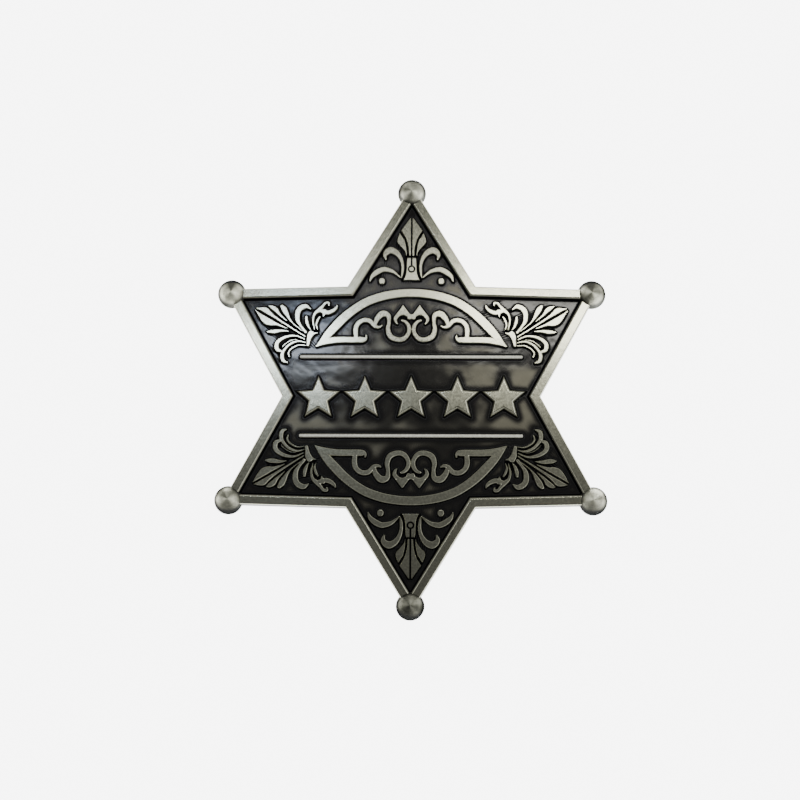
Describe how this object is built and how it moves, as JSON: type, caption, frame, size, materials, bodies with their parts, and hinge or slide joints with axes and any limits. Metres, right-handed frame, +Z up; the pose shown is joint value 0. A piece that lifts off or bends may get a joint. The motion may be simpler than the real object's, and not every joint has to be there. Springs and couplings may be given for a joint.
{
  "type": "sheriff star badge",
  "caption": "Star badge in cast antique silver metal with a ball on each tip, a raised rim, leaf and scroll relief, a row of raised stars and a pin clasp on its back.",
  "frame": {"origin": "middle of the badge at the face that the clasp rests on, the badge lying on its back", "axes": "+Z up out of the ornamented face, +Y towards the upright point of the star, +X to the right of someone who looks at the face"},
  "size_m": [0.0782, 0.0894, 0.008],
  "materials": {
    "cast_metal": "antique silver zinc alloy, brushed high spots over a blackened ground",
    "clasp_metal": "plain nickel plated steel"
  },
  "bodies": {
    "root": {"cast_star": "cast_metal", "pin_clasp": "clasp_metal"}
  },
  "joints": []
}
